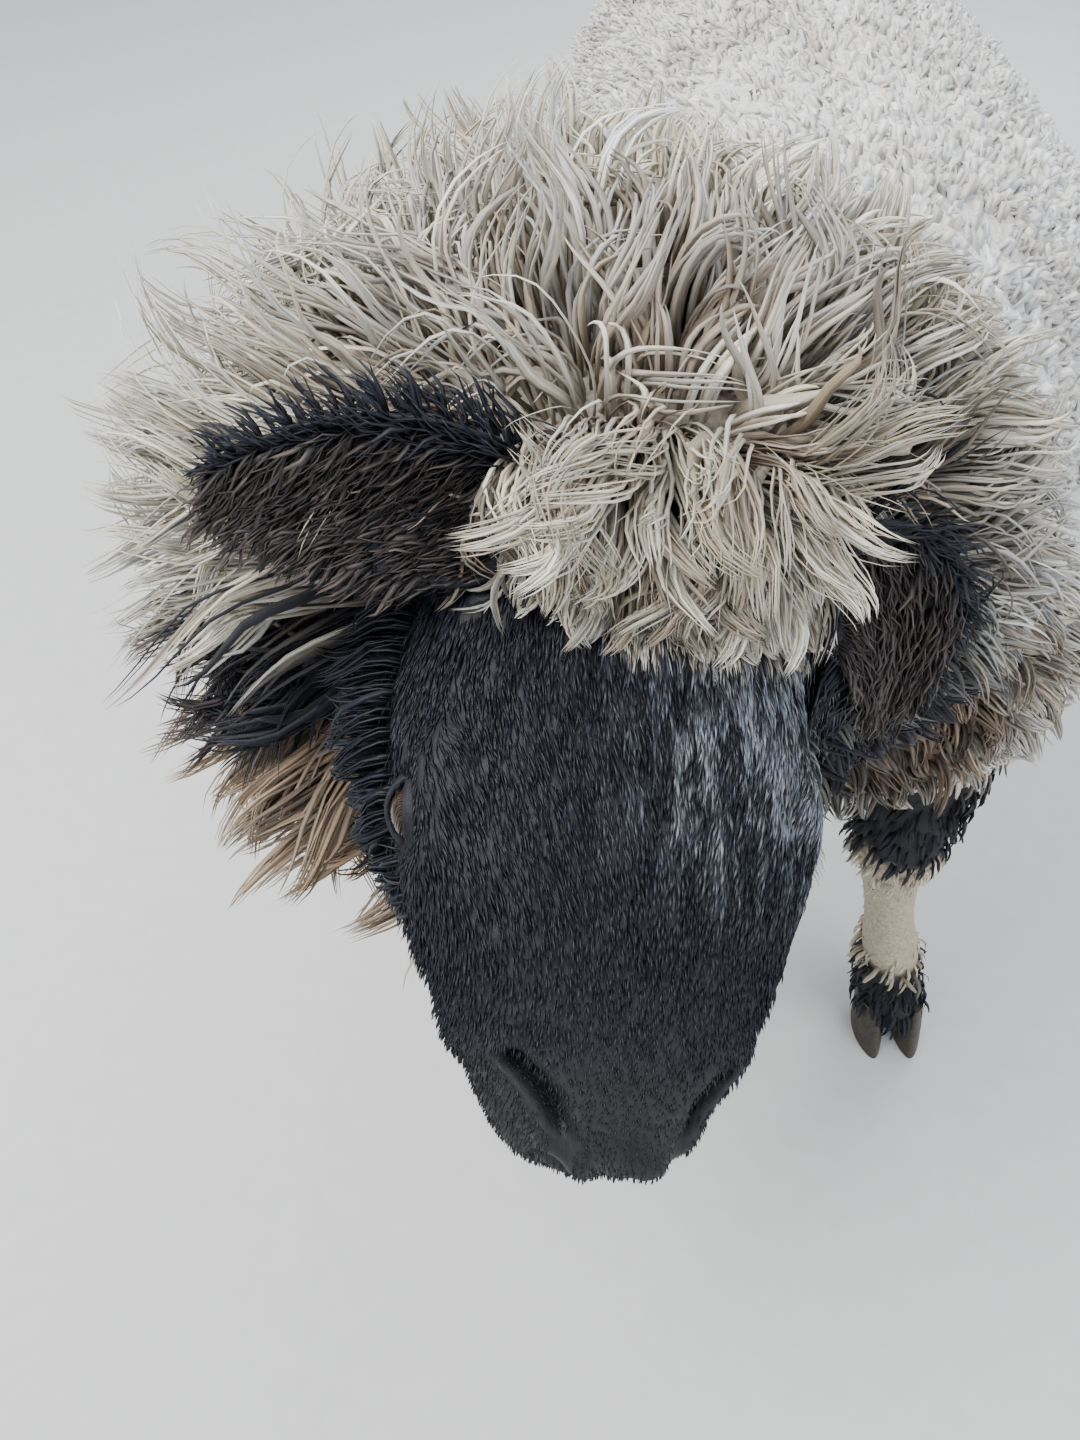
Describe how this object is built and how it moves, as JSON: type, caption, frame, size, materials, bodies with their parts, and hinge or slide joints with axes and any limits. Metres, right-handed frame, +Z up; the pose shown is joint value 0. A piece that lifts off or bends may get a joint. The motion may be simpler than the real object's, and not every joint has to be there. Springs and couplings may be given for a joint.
{
  "type": "valais blacknose sheep",
  "caption": "Life-size standing ewe of a black-faced, long-woolled mountain breed, shorn body, woolly neck, head held low and turned a little to its right.",
  "frame": {"origin": "on the floor, under the middle of the whole model's box", "axes": "+Z up; the sheep faces -Y, and its left side is +X"},
  "size_m": [0.6714, 1.251, 0.8909],
  "materials": {
    "shorn_fleece": "dense short white fleece",
    "long_wool": "long wavy off-white wool",
    "black_hair": "short black hair",
    "leg_wool": "cream leg wool with black knees, hocks and feet",
    "eye": "wet dark amber eye",
    "hoof_horn": "dull dark horn"
  },
  "bodies": {
    "root": {"ear_left": "black_hair", "ear_right": "black_hair", "eye_left": "eye", "eye_right": "eye", "front_left_hoof_inner": "hoof_horn", "front_left_hoof_outer": "hoof_horn", "front_left_leg_lower": "leg_wool", "front_left_leg_upper": "leg_wool", "front_right_hoof_inner": "hoof_horn", "front_right_hoof_outer": "hoof_horn", "front_right_leg_lower": "leg_wool", "front_right_leg_upper": "leg_wool", "head": "black_hair", "hind_left_hoof_inner": "hoof_horn", "hind_left_hoof_outer": "hoof_horn", "hind_left_leg_lower": "leg_wool", "hind_left_leg_upper": "leg_wool", "hind_right_hoof_inner": "hoof_horn", "hind_right_hoof_outer": "hoof_horn", "hind_right_leg_lower": "leg_wool", "hind_right_leg_upper": "leg_wool", "neck": "long_wool", "tail": "long_wool", "torso": "shorn_fleece"}
  },
  "joints": []
}
